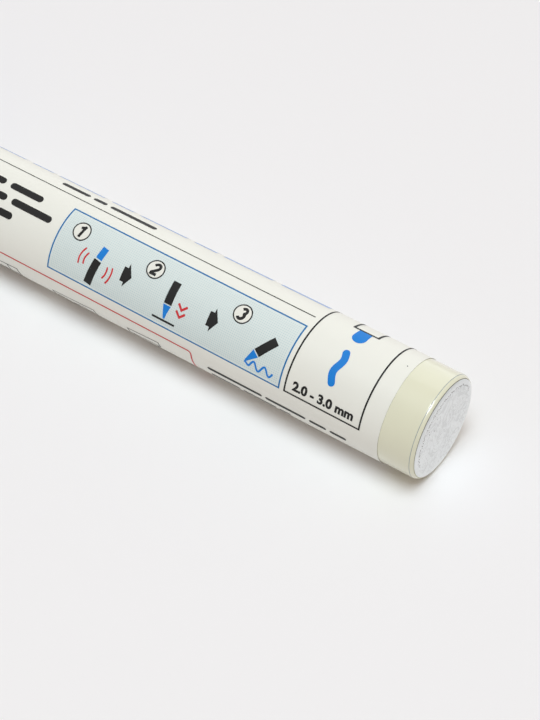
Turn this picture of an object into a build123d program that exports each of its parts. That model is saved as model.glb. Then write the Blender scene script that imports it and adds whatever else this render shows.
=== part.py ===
from build123d import *
import math
import os

# Valve-action paint marker with its cap on, lying on its label with the clip resting beside it.
# Millimetres. The origin is the centre of the tail face, +X points out of the tail, +Z is up.
# Every station below is a distance from the tail face towards the writing tip.

# Can and label
can_diameter = 14.5
can_wall = 0.45
can_base_thickness = 0.9
can_length = 88.0
tail_round = 0.8
label_thickness = 0.08
label_tail_margin = 5.2
label_mouth_margin = 1.5

# Stopper that closes the can's mouth and carries the cap
collar_length = 3.2
collar_step = 0.3
plug_length = 13.0
spigot_length = 9.0
snap_bead_height = 0.1
snap_bead_width = 1.2
snap_bead_setback = 3.0
gasket_groove_width = 1.3
gasket_groove_depth = 0.9
groove_floor_wall = 1.18
gasket_setback = 4.0

# Nib holder and nib
seal_land_step = 0.8
seal_land_length = 2.0
nose_length = 13.0
nose_bulge = 0.35
nose_tip_wall = 0.5
holder_tail_step = 0.8
holder_tail_length = 8.2
nib_diameter = 4.2
nib_exposed = 6.0
nib_straight = 1.2
nib_tip_radius = 1.1
nib_tail_setback = 1.0
channel_count = 4
channel_width = 0.9
channel_depth = 0.45

# Valve
well_step = 1.2
seat_setback = 2.5
seat_thickness = 1.5
seat_hole_gap = 0.6
pin_head_gap = 0.5
pin_head_thickness = 1.4
pin_stem_diameter = 2.2
pin_tail_diameter = 2.0
cage_flange_thickness = 1.0
cage_flange_step = 0.98
cage_reach = 9.0
cage_sleeve_wall = 1.18
cage_basket_wall = 0.9
cage_end_wall = 1.0
cage_window_width = 3.0
cage_window_margin = 0.8
spring_wire = 0.5
spring_side_gap = 0.75
spring_turns = 7.0
spring_wire_sides = 6

# Mixing ball
ball_diameter = 6.6
ball_station = 24.0

# Cap
cap_length = 46.65
cap_straight_length = 18.0
cap_wall = 1.05
cap_taper = 0.55
cap_end_round = 1.8
cap_end_wall = 1.6
cap_dish_margin = 0.7
cap_dish_depth = 0.35
cap_gate_radius = 0.6
cap_gate_height = 0.2
cap_pocket_wall = 0.95
inner_cap_length = 26.5
inner_cap_ring_length = 4.0
inner_cap_taper = 0.9
inner_cap_wall = 0.65
flute_count = 28
flute_length = 13.0
flute_setback = 2.5
flute_radius = 0.45
flute_depth = 0.22

# Clip
clip_length = 34.0
clip_width = 4.8
clip_tip_width = 3.6
clip_thickness = 1.5
clip_tip_thickness = 0.95
clip_bow = 0.35
clip_lip_radius = 12.0
clip_lip_angle = 20.0
clip_gap = 1.1
clip_nub_gap = 0.2
clip_nub_setback = 3.2
clip_top_setback = 2.6
clip_root_length = 6.0
clip_tenon_depth = 0.5
clip_outer_round = 0.8
clip_root_round = 0.5
clip_edge_round = 0.5

# Clearances between pieces
press_clearance = 0.02
running_clearance = 0.05
valve_clearance = 0.02
cap_gap = 0.15
step_gap = 0.2
floor_clearance = 0.01

# Small edge breaks
edge_break = 0.25

# Radii that follow
can_radius = can_diameter / 2
can_bore_radius = can_radius - can_wall
label_radius = can_radius + label_thickness
plug_radius = can_bore_radius - press_clearance
groove_radius = plug_radius - gasket_groove_depth
collar_radius = can_radius - collar_step
cap_bore_radius = collar_radius - cap_wall
spigot_radius = cap_bore_radius - running_clearance - snap_bead_height
land_radius = spigot_radius - seal_land_step
holder_tail_radius = land_radius - holder_tail_step
well_radius = holder_tail_radius - well_step
nib_radius = nib_diameter / 2
nib_bore_radius = nib_radius + running_clearance
nose_tip_radius = nib_bore_radius + channel_depth + nose_tip_wall
valve_bore_radius = groove_radius - groove_floor_wall
cage_front_radius = valve_bore_radius - press_clearance
cage_bore_radius = cage_front_radius - cage_sleeve_wall
cage_radius = cage_bore_radius + cage_basket_wall
cage_flange_radius = plug_radius - cage_flange_step
pin_head_radius = cage_bore_radius - pin_head_gap
pin_stem_radius = pin_stem_diameter / 2
pin_tail_radius = pin_tail_diameter / 2
seat_hole_radius = pin_stem_radius + seat_hole_gap
spring_radius = cage_bore_radius - spring_side_gap - spring_wire / 2
ball_radius = ball_diameter / 2
cap_top_radius = collar_radius - cap_taper
inner_cap_bore_radius = land_radius + running_clearance
inner_cap_ring_radius = inner_cap_bore_radius + inner_cap_wall
cap_pocket_radius = inner_cap_ring_radius + press_clearance
inner_cap_end_radius = inner_cap_ring_radius - inner_cap_taper

# Stations that follow
plug_rear = can_length - plug_length
collar_front = can_length + collar_length
spigot_front = collar_front + spigot_length
holder_seat = spigot_front - holder_tail_length
land_front = spigot_front + seal_land_length
nose_tip = land_front + nose_length
nib_tip = nose_tip + nib_exposed
nib_rear = holder_seat + nib_tail_setback
seat_front = can_length - seat_setback
seat_rear = seat_front - seat_thickness
head_front = seat_rear - valve_clearance
head_rear = head_front - pin_head_thickness
cage_flange_rear = plug_rear - cage_flange_thickness
cage_rear = cage_flange_rear - cage_reach
cage_floor = cage_rear + cage_end_wall
cap_rear = collar_front + cap_gap
cap_front = cap_rear + cap_length
pocket_rear = spigot_front + step_gap
pocket_front = cap_front - cap_end_wall
inner_rear = pocket_rear + press_clearance
inner_front = inner_rear + inner_cap_length

# Profiles are drawn as (station, radius) and turned round the barrel's axis
axial = Plane(origin=(0, 0, 0), x_dir=(-1, 0, 0), z_dir=(0, 1, 0))

os.makedirs("parts", exist_ok=True)

# Drawn can: closed tail with a rounded edge, open mouth
inner_corner = tail_round - can_wall / 2
with BuildPart() as barrel_can:
    with BuildSketch(axial):
        with BuildLine():
            Line((0, 0), (0, can_radius - tail_round))
            JernArc((0, can_radius - tail_round), (0, 1), tail_round, -90)
            Line((tail_round, can_radius), (can_length - edge_break / 2, can_radius))
            Line((can_length - edge_break / 2, can_radius), (can_length, can_radius - edge_break / 2))
            Line((can_length, can_radius - edge_break / 2), (can_length, can_bore_radius))
            Line((can_length, can_bore_radius), (can_base_thickness + inner_corner, can_bore_radius))
            Line(
                (can_base_thickness + inner_corner, can_bore_radius),
                (can_base_thickness, can_bore_radius - inner_corner),
            )
            Line((can_base_thickness, can_bore_radius - inner_corner), (can_base_thickness, 0))
            Line((can_base_thickness, 0), (0, 0))
        make_face()
    revolve(axis=Axis.X)
barrel_can.part.label = "barrel_can"
export_step(barrel_can.part, "parts/barrel_can.step")

# Printed film wrapped round the can
label_front = can_length - label_mouth_margin
with BuildPart() as label_sleeve:
    with BuildSketch(axial):
        with BuildLine():
            Polyline(
                (label_tail_margin, can_radius),
                (label_tail_margin, label_radius),
                (label_front, label_radius),
                (label_front, can_radius),
                close=True,
            )
        make_face()
    revolve(axis=Axis.X)
label_sleeve.part.label = "label_sleeve"
export_step(label_sleeve.part, "parts/label_sleeve.step")

# Stopper: plug with a gasket groove, collar on the can's rim, spigot with a snap bead
groove_front = can_length - gasket_setback
groove_rear = groove_front - gasket_groove_width
bead_rear = collar_front + snap_bead_setback
with BuildPart() as stopper:
    with BuildSketch(axial):
        with BuildLine():
            Polyline(
                (plug_rear, valve_bore_radius),
                (plug_rear, plug_radius - edge_break),
                (plug_rear + edge_break, plug_radius),
                (groove_rear, plug_radius),
                (groove_rear, groove_radius),
                (groove_front, groove_radius),
                (groove_front, plug_radius),
                (can_length, plug_radius),
                (can_length, collar_radius - edge_break / 2),
                (can_length + edge_break / 2, collar_radius),
                (collar_front - edge_break / 2, collar_radius),
                (collar_front, collar_radius - edge_break / 2),
                (collar_front, spigot_radius),
                (bead_rear, spigot_radius),
                (bead_rear + snap_bead_width / 2, spigot_radius + snap_bead_height),
                (bead_rear + snap_bead_width, spigot_radius),
                (spigot_front - edge_break, spigot_radius),
                (spigot_front, spigot_radius - edge_break),
                (spigot_front, holder_tail_radius + press_clearance),
                (holder_seat, holder_tail_radius + press_clearance),
                (holder_seat, well_radius),
                (seat_front, well_radius),
                (seat_front, valve_bore_radius),
                close=True,
            )
        make_face()
    revolve(axis=Axis.X)
stopper.part.label = "stopper"
export_step(stopper.part, "parts/stopper.step")

# Rubber ring in the stopper's groove, bevelled where it enters the can
gasket_bevel = gasket_groove_width / 4
with BuildPart() as stopper_gasket:
    with BuildSketch(axial):
        with BuildLine():
            Polyline(
                (groove_rear + press_clearance, groove_radius + press_clearance),
                (groove_rear + press_clearance, can_bore_radius - press_clearance - gasket_bevel),
                (groove_rear + press_clearance + gasket_bevel, can_bore_radius - press_clearance),
                (groove_front - press_clearance - gasket_bevel, can_bore_radius - press_clearance),
                (groove_front - press_clearance, can_bore_radius - press_clearance - gasket_bevel),
                (groove_front - press_clearance, groove_radius + press_clearance),
                close=True,
            )
        make_face()
    revolve(axis=Axis.X)
stopper_gasket.part.label = "stopper_gasket"
export_step(stopper_gasket.part, "parts/stopper_gasket.step")

# Nib holder: tail in the stopper, land for the inner cap, bulged nose, paint channels round the nib
with BuildPart() as nib_holder:
    with BuildSketch(axial):
        with BuildLine():
            Polyline(
                (nose_tip, nose_tip_radius - edge_break),
                (nose_tip, nib_bore_radius),
                (holder_seat, nib_bore_radius),
                (holder_seat, holder_tail_radius),
                (spigot_front, holder_tail_radius),
                (spigot_front, land_radius),
                (land_front, land_radius),
            )
            SagittaArc((land_front, land_radius), (nose_tip - edge_break, nose_tip_radius), -nose_bulge)
            Line((nose_tip - edge_break, nose_tip_radius), (nose_tip, nose_tip_radius - edge_break))
        make_face()
    revolve(axis=Axis.X)
    with BuildSketch(Plane(origin=(-holder_seat, 0, 0), x_dir=(0, 1, 0), z_dir=(-1, 0, 0))):
        with PolarLocations(nib_bore_radius, channel_count):
            Rectangle(2 * channel_depth, channel_width)
    extrude(amount=nose_tip - holder_seat, mode=Mode.SUBTRACT)
nib_holder.part.label = "nib_holder"
export_step(nib_holder.part, "parts/nib_holder.step")

# Fibre nib: the cone from the straight part runs into the round tip without a corner
tip_centre = nib_tip - nib_tip_radius
nib_shoulder = nose_tip + nib_straight
cone_run = tip_centre - nib_shoulder
cone_reach = math.hypot(nib_radius, cone_run)
tangent_angle = math.asin(nib_tip_radius / cone_reach) + math.atan2(cone_run, nib_radius)
tangent_point = (
    tip_centre + nib_tip_radius * math.cos(tangent_angle),
    nib_tip_radius * math.sin(tangent_angle),
)
middle_point = (
    tip_centre + nib_tip_radius * math.cos(tangent_angle / 2),
    nib_tip_radius * math.sin(tangent_angle / 2),
)
with BuildPart() as nib:
    with BuildSketch(axial):
        with BuildLine():
            Polyline(
                (nib_tip, 0),
                (nib_rear, 0),
                (nib_rear, nib_radius - edge_break),
                (nib_rear + edge_break, nib_radius),
                (nib_shoulder, nib_radius),
                tangent_point,
            )
            ThreePointArc(tangent_point, middle_point, (nib_tip, 0))
        make_face()
    revolve(axis=Axis.X)
nib.part.label = "nib"
export_step(nib.part, "parts/nib.step")

# Soft washer that the pin closes against
with BuildPart() as valve_seat:
    with BuildSketch(axial):
        with BuildLine():
            Polyline(
                (seat_rear, seat_hole_radius),
                (seat_rear, cage_front_radius),
                (seat_front, cage_front_radius),
                (seat_front, seat_hole_radius),
                close=True,
            )
        make_face()
    revolve(axis=Axis.X)
valve_seat.part.label = "valve_seat"
export_step(valve_seat.part, "parts/valve_seat.step")

# Valve pin: tail through the cage, head behind the seat, stem up to the nib
pin_rear = cage_rear + cage_end_wall / 2
with BuildPart() as valve_pin:
    with BuildSketch(axial):
        with BuildLine():
            Polyline(
                (pin_rear, 0),
                (pin_rear, pin_tail_radius - edge_break),
                (pin_rear + edge_break, pin_tail_radius),
                (head_rear, pin_tail_radius),
                (head_rear, pin_head_radius),
                (head_front - edge_break, pin_head_radius),
                (head_front, pin_head_radius - edge_break),
                (head_front, pin_stem_radius),
                (nib_rear, pin_stem_radius),
                (nib_rear, 0),
                close=True,
            )
        make_face()
    revolve(axis=Axis.X)
valve_pin.part.label = "valve_pin"
export_step(valve_pin.part, "parts/valve_pin.step")

# Valve cage: sleeve that clamps the seat, flange on the plug, windowed basket with a guide hole
window_rear = cage_floor + cage_window_margin
window_front = cage_flange_rear - cage_window_margin
with BuildPart() as valve_cage:
    with BuildSketch(axial):
        with BuildLine():
            Polyline(
                (cage_rear, pin_tail_radius + running_clearance),
                (cage_rear, cage_radius),
                (cage_flange_rear, cage_radius),
                (cage_flange_rear, cage_flange_radius),
                (plug_rear, cage_flange_radius),
                (plug_rear, cage_front_radius),
                (seat_rear, cage_front_radius),
                (seat_rear, cage_bore_radius),
                (cage_floor, cage_bore_radius),
                (cage_floor, pin_tail_radius + running_clearance),
                close=True,
            )
        make_face()
    revolve(axis=Axis.X)
    with BuildSketch(Plane(origin=(-window_rear, 0, 0), x_dir=(0, 1, 0), z_dir=(-1, 0, 0))):
        Rectangle(4 * cage_radius, cage_window_width)
        Rectangle(cage_window_width, 4 * cage_radius)
    extrude(amount=window_front - window_rear, mode=Mode.SUBTRACT)
valve_cage.part.label = "valve_cage"
export_step(valve_cage.part, "parts/valve_cage.step")

# Coil spring between the cage's floor and the pin's head
spring_rear = cage_floor + spring_wire / 2 + valve_clearance
spring_travel = head_rear - valve_clearance - spring_wire / 2 - spring_rear
with BuildPart() as valve_spring:
    with BuildLine() as spring_path:
        Helix(
            pitch=spring_travel / spring_turns,
            height=spring_travel,
            radius=spring_radius,
            center=(-spring_rear, 0, 0),
            direction=(-1, 0, 0),
        )
    with BuildSketch(Plane(origin=spring_path.line @ 0, z_dir=spring_path.line % 0)):
        RegularPolygon(spring_wire / 2, spring_wire_sides)
    sweep()
valve_spring.part.label = "valve_spring"
export_step(valve_spring.part, "parts/valve_spring.step")

# Steel ball that lies loose in the can
ball_height = can_bore_radius - ball_radius - running_clearance
with BuildPart() as mixing_ball:
    with Locations((-ball_station, 0, -ball_height)):
        Sphere(ball_radius)
mixing_ball.part.label = "mixing_ball"
export_step(mixing_ball.part, "parts/mixing_ball.step")

# Clip direction: turned from straight down until its rounded edge just clears the resting plane
clip_inner = collar_radius + clip_gap
clip_outer = clip_inner + clip_thickness
edge_height = clip_outer - clip_edge_round
edge_side = clip_width / 2 - clip_edge_round
edge_drop = label_radius - clip_edge_round - floor_clearance
clip_turn = math.atan2(edge_side, edge_height) + math.acos(edge_drop / math.hypot(edge_height, edge_side))
clip_out = Vector(0, -math.sin(clip_turn), -math.cos(clip_turn))
clip_plane = Plane(origin=(0, 0, 0), x_dir=(-1, 0, 0), z_dir=(0, clip_out.Z, -clip_out.Y))
clip_root_front = cap_front - clip_top_setback
clip_root_rear = clip_root_front - clip_root_length
clip_end = clip_root_front - clip_length
tenon_height = cap_top_radius - clip_tenon_depth

# Cap shell: fluted grip at the mouth, tapered body, dished end with the mould's gate mark, pocket for the
# inner cap, socket for the clip
pocket_end_radius = cap_top_radius - cap_pocket_wall
cap_dish_radius = cap_top_radius - cap_end_round - cap_dish_margin
cap_dish_floor = cap_front - cap_dish_depth
with BuildPart() as cap_shell:
    with BuildSketch(axial):
        with BuildLine():
            Polyline(
                (cap_front - cap_end_round, cap_top_radius),
                (cap_rear + cap_straight_length, collar_radius),
                (cap_rear + edge_break, collar_radius),
                (cap_rear, collar_radius - edge_break),
                (cap_rear, cap_bore_radius + edge_break),
                (cap_rear + edge_break, cap_bore_radius),
                (pocket_rear, cap_bore_radius),
                (pocket_rear, cap_pocket_radius),
                (inner_rear + inner_cap_ring_length, cap_pocket_radius),
                (pocket_front, pocket_end_radius),
                (pocket_front, 0),
                (cap_dish_floor + cap_gate_height, 0),
                (cap_dish_floor + cap_gate_height, cap_gate_radius),
                (cap_dish_floor, cap_gate_radius),
                (cap_dish_floor, cap_dish_radius - cap_dish_depth),
                (cap_front, cap_dish_radius),
                (cap_front, cap_top_radius - cap_end_round),
            )
            JernArc((cap_front, cap_top_radius - cap_end_round), (0, 1), cap_end_round, 90)
        make_face()
    revolve(axis=Axis.X)
    flute_plane = Plane(origin=(-cap_rear - flute_setback, 0, 0), x_dir=(0, 1, 0), z_dir=(-1, 0, 0))
    with BuildSketch(flute_plane):
        with PolarLocations(collar_radius + flute_radius - flute_depth, flute_count):
            Circle(flute_radius)
    extrude(amount=flute_length, mode=Mode.SUBTRACT)
    with BuildSketch(clip_plane):
        with BuildLine():
            Polyline(
                (clip_root_rear - press_clearance, tenon_height - press_clearance),
                (clip_root_front + press_clearance, tenon_height - press_clearance),
                (clip_root_front + press_clearance, clip_outer),
                (clip_root_rear - press_clearance, clip_outer),
                close=True,
            )
        make_face()
    extrude(amount=clip_width / 2 + press_clearance, both=True, mode=Mode.SUBTRACT)
cap_shell.part.label = "cap_shell"
export_step(cap_shell.part, "parts/cap_shell.step")

# Inner cap: cup with a ring that grips the cap shell and seals on the nib holder's land
inner_floor = inner_front - inner_cap_wall
inner_ring_front = inner_rear + inner_cap_ring_length
with BuildPart() as inner_cap:
    with BuildSketch(axial):
        with BuildLine():
            Polyline(
                (inner_rear, inner_cap_bore_radius),
                (inner_rear, inner_cap_ring_radius),
                (inner_ring_front, inner_cap_ring_radius),
                (inner_front, inner_cap_end_radius),
                (inner_front, 0),
                (inner_floor, 0),
                (inner_floor, inner_cap_end_radius - inner_cap_wall),
                (inner_ring_front, inner_cap_bore_radius),
                close=True,
            )
        make_face()
    revolve(axis=Axis.X)
inner_cap.part.label = "inner_cap"
export_step(inner_cap.part, "parts/inner_cap.step")

# Clip: root in the cap's socket, tapered arm that dips to a gripping nub, lip that turns up at the tip
nub_station = clip_end + clip_nub_setback
nub_radius = clip_gap - clip_nub_gap
nub_front = (nub_station + nub_radius, clip_inner)
nub_rear = (nub_station - nub_radius, clip_inner)
arm_length = clip_root_front - clip_outer_round - nub_station
arm_slope = math.degrees(math.atan2(clip_bow, arm_length))
with BuildPart() as cap_clip:
    with BuildSketch(clip_plane.offset(-clip_width / 2)):
        with BuildLine():
            Line((clip_root_rear, tenon_height), (clip_root_front, tenon_height))
            front = Line((clip_root_front, tenon_height), (clip_root_front, clip_outer - clip_outer_round))
            corner = JernArc(front @ 1, front % 1, clip_outer_round, 90 + arm_slope)
            arm = PolarLine(corner @ 1, arm_length, direction=corner % 1)
            lip = JernArc(arm @ 1, arm % 1, clip_lip_radius, -clip_lip_angle)
            tip = PolarLine(lip @ 1, clip_tip_thickness, direction=(lip % 1).rotate(Axis.Z, 90))
            Line(tip @ 1, nub_rear)
            ThreePointArc(nub_rear, (nub_station, clip_inner - nub_radius), nub_front)
            Line(nub_front, (clip_root_rear - clip_root_round, clip_inner))
            JernArc((clip_root_rear - clip_root_round, clip_inner), (1, 0), clip_root_round, -90)
            Line((clip_root_rear, clip_inner - clip_root_round), (clip_root_rear, tenon_height))
        make_face()
    extrude(amount=clip_width)
    with BuildSketch(Plane(origin=(0, 0, 0), x_dir=(-1, 0, 0), z_dir=clip_out)):
        with Locations((clip_end + clip_tip_width / 2, 0)):
            Circle(clip_tip_width / 2)
        with Locations((clip_root_front - clip_root_length / 2, 0)):
            Rectangle(clip_root_length, clip_width)
        make_hull()
    extrude(amount=clip_outer + clip_thickness, mode=Mode.INTERSECT)
    arm_face = cap_clip.faces().filter_by(GeomType.PLANE).sort_by(SortBy.AREA)[-1]
    arm_sides = arm_face.edges().filter_by(Axis((0, 0, 0), clip_plane.z_dir), reverse=True)
    fillet(arm_sides, radius=clip_edge_round)
cap_clip.part.label = "cap_clip"
export_step(cap_clip.part, "parts/cap_clip.step")
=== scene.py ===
import math

import bmesh
import bpy
from bpy.props import FloatProperty, FloatVectorProperty, IntProperty, PointerProperty
from mathutils import Matrix, Vector
from mathutils.geometry import delaunay_2d_cdt


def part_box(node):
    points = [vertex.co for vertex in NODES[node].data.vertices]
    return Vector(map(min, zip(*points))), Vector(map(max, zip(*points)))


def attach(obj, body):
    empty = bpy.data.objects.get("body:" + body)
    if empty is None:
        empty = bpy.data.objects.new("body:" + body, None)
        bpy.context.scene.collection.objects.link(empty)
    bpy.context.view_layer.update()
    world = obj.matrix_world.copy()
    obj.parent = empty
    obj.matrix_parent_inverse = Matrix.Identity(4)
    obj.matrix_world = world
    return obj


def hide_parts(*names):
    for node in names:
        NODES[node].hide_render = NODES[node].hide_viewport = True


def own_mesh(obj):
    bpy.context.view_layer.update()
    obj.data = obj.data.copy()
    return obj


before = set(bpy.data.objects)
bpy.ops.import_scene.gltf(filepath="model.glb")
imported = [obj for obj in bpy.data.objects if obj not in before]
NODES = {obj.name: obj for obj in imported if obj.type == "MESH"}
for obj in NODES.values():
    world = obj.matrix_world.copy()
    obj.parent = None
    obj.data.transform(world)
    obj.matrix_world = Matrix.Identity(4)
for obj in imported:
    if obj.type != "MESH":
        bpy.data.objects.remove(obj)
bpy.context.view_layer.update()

bl_info = {
    "name": "Paint Marker Dresser",
    "version": (1, 0, 0),
    "blender": (4, 5, 0),
    "location": "View3D > Sidebar > Marker",
    "description": "Dresses a packed paint marker with lacquer, label print, plastics and a studio stage",
    "category": "Object",
}

MM = 0.001

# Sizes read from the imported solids, in metres. A station is a distance from the tail face
label_low, label_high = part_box("label_sleeve")
can_low, can_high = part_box("barrel_can")
LABEL_RADIUS = label_high.z
LABEL_NEAR, LABEL_FAR = -label_high.x, -label_low.x
CAN_RADIUS = can_high.y
CAN_LENGTH = -can_low.x

# Small sizes of the can and the film
MOUTH_CHAMFER = 0.12 * MM
CAN_FLOOR = 0.9 * MM
CAN_FLOOR_BEVEL = 0.6 * MM
FILM_CHAMFER = 0.01 * MM
FILM_CLEARANCE = 0.002 * MM
SEAM_SINK = 0.005 * MM
SHARP_ANGLE = math.radians(35)

# The ring of scuff marks lies off the tail's centre: how far down, how far to +Y, and how far each mark strays
SCUFF_DOWN = 0.4 * MM
SCUFF_SIDE = 0.32 * MM
SCUFF_SHAKE = 0.2 * MM
SCUFF_LIFT = 0.006 * MM
STRAY_DENSITY = 220000.0
# Sides of the tail, as directions: the one that is most scuffed, and the upper one where painted shade darkens the
# enamel's outer band and the gap
SCUFFED_SIDE = (0.0, -0.35, 0.87)
SHADE_SIDE = (0.0, -0.26, 0.97)

# Places on the flat label, in millimetres: x runs along the barrel to the tail, y runs round it, is 0 on the side
# that faces -Y and grows upwards. A box is left, low, right, high. The print is straight at SKEW_CENTRE
PANEL = (-57.8, 1.5, -20.15, 10.64)
BOX = (-19.3, 1.5, -8.05, 19.5)
SKEW_CENTRE = -39.0
SEAM_PLACE = 25.0
SEAM_INSET = 0.02
SCREEN_MARGIN = 0.5
CUT_STEP = 0.25
MITRE_LIMIT = 0.3

# Colour sockets of a Mix node: its two inputs and its output
MIX_A, MIX_B, MIXED = 6, 7, 2
# The turn that lays +Z along the barrel, and the factors that leave a vector's part across it
ALONG_BARREL = (0.0, math.pi / 2, 0.0)
ACROSS_BARREL = (0.0, 1.0, 1.0)

# Stage, in metres
FLOOR_HALF = 2.5
FLOOR_DROP = 0.01 * MM
FADE_START, FADE_END = 0.3, 0.9
LAMP_AIM = Vector((-0.04, 0, 0))
CAMERA_PLACE = (70.928 * MM, -142.782 * MM, 176.222 * MM)
CAMERA_RIGHT = Vector((0.82036, 0.57177, 0.00992))
CAMERA_AHEAD = Vector((-0.3904, 0.57259, -0.72092))


def linear(code):
    """Linear colour of an sRGB hex value."""
    parts = [int(code[i:i + 2], 16) / 255 for i in (1, 3, 5)]
    return tuple(p / 12.92 if p <= 0.04045 else ((p + 0.055) / 1.055) ** 2.4 for p in parts)


def length(name, description, millimetres):
    """A length property with its default given in millimetres."""
    return FloatProperty(name=name, description=description, default=millimetres * MM, unit="LENGTH", precision=5)


def colour(name, description, code):
    """A colour property with its default given as an sRGB hex value."""
    return FloatVectorProperty(name=name, description=description, default=linear(code), subtype="COLOR", size=3)


class MarkerSizes(bpy.types.PropertyGroup):
    """Sizes of the details that the solids leave to the dressing."""

    round_steps: IntProperty(name="Round Steps", description="Facets round the barrel", default=240)
    tail_round: length("Tail Round", "Radius of the can's tail edge", 0.8)
    tail_line: length("Tail Line", "Width of the fine line where the tail edge starts to round", 0.07)
    tail_line_station: length("Tail Line Station", "Distance of that line from the tail face", 0.606)
    tail_line_depth: length("Tail Line Depth", "Depth of that line", 0.03)
    enamel_radius: length("Enamel Radius", "Where the white enamel of the tail meets the lacquer", 6.86)
    enamel_step: length("Enamel Step", "Width and depth of the gap between enamel and lacquer", 0.09)
    can_wall: length("Can Wall", "Thickness of the can's wall at the mouth", 0.45)
    seam_lap: length("Seam Lap", "Overlap of the label's two ends at the back", 3.0)
    seam_rise: length("Seam Rise", "Thickness of the overlapping film", 0.03)
    wrap_skew: FloatProperty(
        name="Wrap Skew", description="Sideways run of the label per length, as it was wrapped", default=0.009
    )
    ink_lift: length("Ink Lift", "Height of the printed ink over the film", 0.006)
    frame_line: length("Frame Line", "Width of the blue frame of the tinted panel", 0.22)
    box_line: length("Box Line", "Width of the black box and rule", 0.235)
    red_line: length("Red Line", "Width of the red frame", 0.23)
    screen_pitch: length("Screen Pitch", "Spacing of the printed dots on the panel", 0.3)
    screen_dot: length("Screen Dot", "Radius of one printed dot", 0.085)
    scuff_ring: length("Scuff Ring", "Radius of the ring of scuff marks on the tail", 6.1)
    scuff_count: IntProperty(name="Scuff Count", description="Places for scuff marks round the ring", default=190)
    scuff_size: length("Scuff Size", "Radius of one scuff mark", 0.072)
    spring_wire: length("Spring Wire", "Diameter of the valve spring's wire", 0.5)
    spring_turns: FloatProperty(name="Spring Turns", description="Coils of the valve spring", default=7.0)
    nib_travel: length("Nib Travel", "How far the nib goes in when it is pressed", 1.8)


class MarkerColours(bpy.types.PropertyGroup):
    """Colours of the finishes."""

    lacquer: colour("Lacquer", "Cream lacquer of the can", "#D9D9BF")
    enamel: colour("Enamel", "White enamel of the tail", "#F5FBFC")
    scuffs: colour("Scuffs", "Rubbed marks on the enamel", "#625F5D")
    tail_line: colour("Tail Line", "Fine line round the tail", "#8C999F")
    # The gap's dark colour is painted shade for its upper part, where the rim's shadow falls
    enamel_gap: colour("Enamel Gap", "Dirt in the gap between the enamel and the lacquer", "#40362F")
    film: colour("Film", "White of the label", "#E4E5DC")
    # Painted shade: the grey of the label's cut edge stands for the shade along the film's step
    film_edge: colour("Film Edge", "Cut edge of the label", "#A5A294")
    panel: colour("Panel", "Pale tint of the panel", "#D6E0DD")
    screen: colour("Screen", "Printed dots on the panel", "#C0D3D3")
    black_ink: colour("Black Ink", "Black print", "#151413")
    blue_ink: colour("Blue Ink", "Blue print", "#127BCF")
    frame_ink: colour("Frame Ink", "Frame of the tinted panel", "#1D6FA6")
    red_ink: colour("Red Ink", "Red print", "#C8353A")
    pale_ink: colour("Pale Ink", "Pale blue dashes", "#9DB3DA")
    cap: colour("Cap", "Blue of the cap and the nose", "#1C69B4")
    white_plastic: colour("White Plastic", "Stopper and valve mouldings", "#E8E7E2")
    milky_plastic: colour("Milky Plastic", "Inner cap", "#DEE2E0")
    fibre: colour("Fibre", "Nib", "#E6E3D6")
    rubber: colour("Rubber", "Valve seat and gasket", "#222222")
    ball: colour("Ball", "Mixing ball", "#C4C4C6")
    spring: colour("Spring", "Valve spring", "#B9B9B8")
    floor: colour("Floor", "Studio floor", "#F3F3F3")
    backdrop: colour("Backdrop", "What the camera sees past the floor", "#EFEFEF")


def add_node(tree, kind, inputs=None, **settings):
    """Adds a node, sets its settings, and sets or links its inputs. A link is a node, which stands for its first
    output, or (node, output)."""
    node = tree.nodes.new(kind)
    for key, value in settings.items():
        setattr(node, key, value)
    for key, value in (inputs or {}).items():
        source, output = value if isinstance(value, tuple) and len(value) == 2 else (value, 0)
        if isinstance(source, bpy.types.Node):
            tree.links.new(source.outputs[output], node.inputs[key])
        else:
            node.inputs[key].default_value = value
    return node


def rgba(value):
    """A colour with full alpha."""
    return (*value, 1.0)


def tone(value, factor):
    """A colour made lighter or darker."""
    return rgba([min(1.0, v * factor) for v in value])


def mottle(tree, value, size_mm, spread, detail=3.0):
    """Link to a colour that varies a little over the surface, with spots about size_mm wide."""
    place = add_node(tree, "ShaderNodeTexCoord")
    spots = {"Vector": (place, "Object"), "Scale": 1 / (size_mm * MM), "Detail": detail}
    noise = add_node(tree, "ShaderNodeTexNoise", spots)
    shades = {0: noise, MIX_A: tone(value, 1 - spread), MIX_B: tone(value, 1 + spread)}
    return add_node(tree, "ShaderNodeMix", shades, data_type="RGBA"), MIXED


def roughness_band(tree, size_mm, low, high):
    """Link to a roughness between low and high that drifts over spots about size_mm wide."""
    place = add_node(tree, "ShaderNodeTexCoord")
    spots = {"Vector": (place, "Object"), "Scale": 1 / (size_mm * MM), "Detail": 2.0}
    noise = add_node(tree, "ShaderNodeTexNoise", spots)
    return add_node(tree, "ShaderNodeMapRange", {"Value": noise, "To Min": low, "To Max": high})


def grain(tree, size_mm, height_mm, strength, detail=2.0, stretch=(1, 1, 1)):
    """Link to a bumped normal from noise with grains about size_mm wide and height_mm high."""
    place = add_node(tree, "ShaderNodeTexCoord")
    along = add_node(tree, "ShaderNodeMapping", {"Vector": (place, "Object"), "Scale": stretch})
    grains = {"Vector": along, "Scale": 1 / (size_mm * MM), "Detail": detail}
    noise = add_node(tree, "ShaderNodeTexNoise", grains)
    return add_node(tree, "ShaderNodeBump", {"Height": noise, "Distance": height_mm * MM, "Strength": strength})


def start_material(name):
    """An empty node material, returned with its tree."""
    material = bpy.data.materials.new(name)
    material.use_nodes = True
    material.node_tree.nodes.clear()
    return material, material.node_tree


def shade(material, tree, **inputs):
    """Ends a material in a Principled shader with these inputs."""
    named = {key.replace("_", " ").title().replace("Ior", "IOR"): value for key, value in inputs.items()}
    surface = add_node(tree, "ShaderNodeBsdfPrincipled", named)
    add_node(tree, "ShaderNodeOutputMaterial", {"Surface": surface})
    return material


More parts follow.
